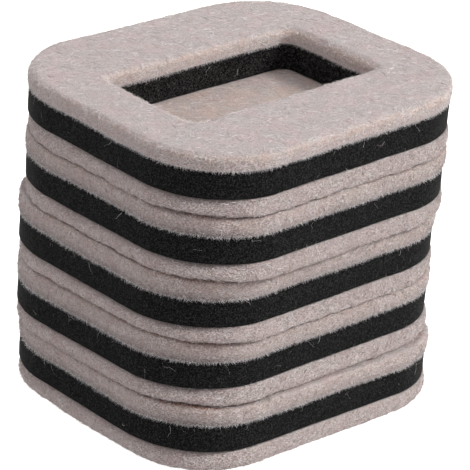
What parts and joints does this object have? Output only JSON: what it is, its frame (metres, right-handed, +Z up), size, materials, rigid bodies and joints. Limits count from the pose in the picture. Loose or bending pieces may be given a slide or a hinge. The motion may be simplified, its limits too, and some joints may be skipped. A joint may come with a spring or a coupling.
{
  "type": "caster pad",
  "caption": "Stack of loose furniture caster pads, each die-cut from felt, foam and felt layers, with a rectangular pocket that holds a wheel and spares the floor.",
  "frame": {"origin": "middle of the bottom pad's underside, on the floor", "axes": "+X along the long side of the bottom pad, +Y along its short side, +Z up"},
  "size_m": [0.0929, 0.0783, 0.082],
  "materials": {
    "felt": "needle-punched polyester felt, fibrous and matt",
    "foam": "closed-cell foam, matt black",
    "glue_film": "thin translucent adhesive film"
  },
  "bodies": {
    "pad_1": {"pad_1_base_felt": "felt", "pad_1_lower_film": "glue_film", "pad_1_foam_ring": "foam", "pad_1_upper_film": "glue_film", "pad_1_top_felt": "felt"},
    "pad_2": {"pad_2_base_felt": "felt", "pad_2_lower_film": "glue_film", "pad_2_foam_ring": "foam", "pad_2_upper_film": "glue_film", "pad_2_top_felt": "felt"},
    "pad_3": {"pad_3_base_felt": "felt", "pad_3_lower_film": "glue_film", "pad_3_foam_ring": "foam", "pad_3_upper_film": "glue_film", "pad_3_top_felt": "felt"},
    "pad_4": {"pad_4_base_felt": "felt", "pad_4_lower_film": "glue_film", "pad_4_foam_ring": "foam", "pad_4_upper_film": "glue_film", "pad_4_top_felt": "felt"},
    "pad_5": {"pad_5_base_felt": "felt", "pad_5_lower_film": "glue_film", "pad_5_foam_ring": "foam", "pad_5_upper_film": "glue_film", "pad_5_top_felt": "felt"}
  },
  "joints": [
    {"name": "pad_2_lift", "type": "slide", "parent": "pad_1", "child": "pad_2", "axis": [0, 0, 1], "range_m": [0, 0.06]},
    {"name": "pad_3_lift", "type": "slide", "parent": "pad_2", "child": "pad_3", "axis": [0, 0, 1], "range_m": [0, 0.06]},
    {"name": "pad_4_lift", "type": "slide", "parent": "pad_3", "child": "pad_4", "axis": [0, 0, 1], "range_m": [0, 0.06]},
    {"name": "pad_5_lift", "type": "slide", "parent": "pad_4", "child": "pad_5", "axis": [0, 0, 1], "range_m": [0, 0.06]}
  ]
}
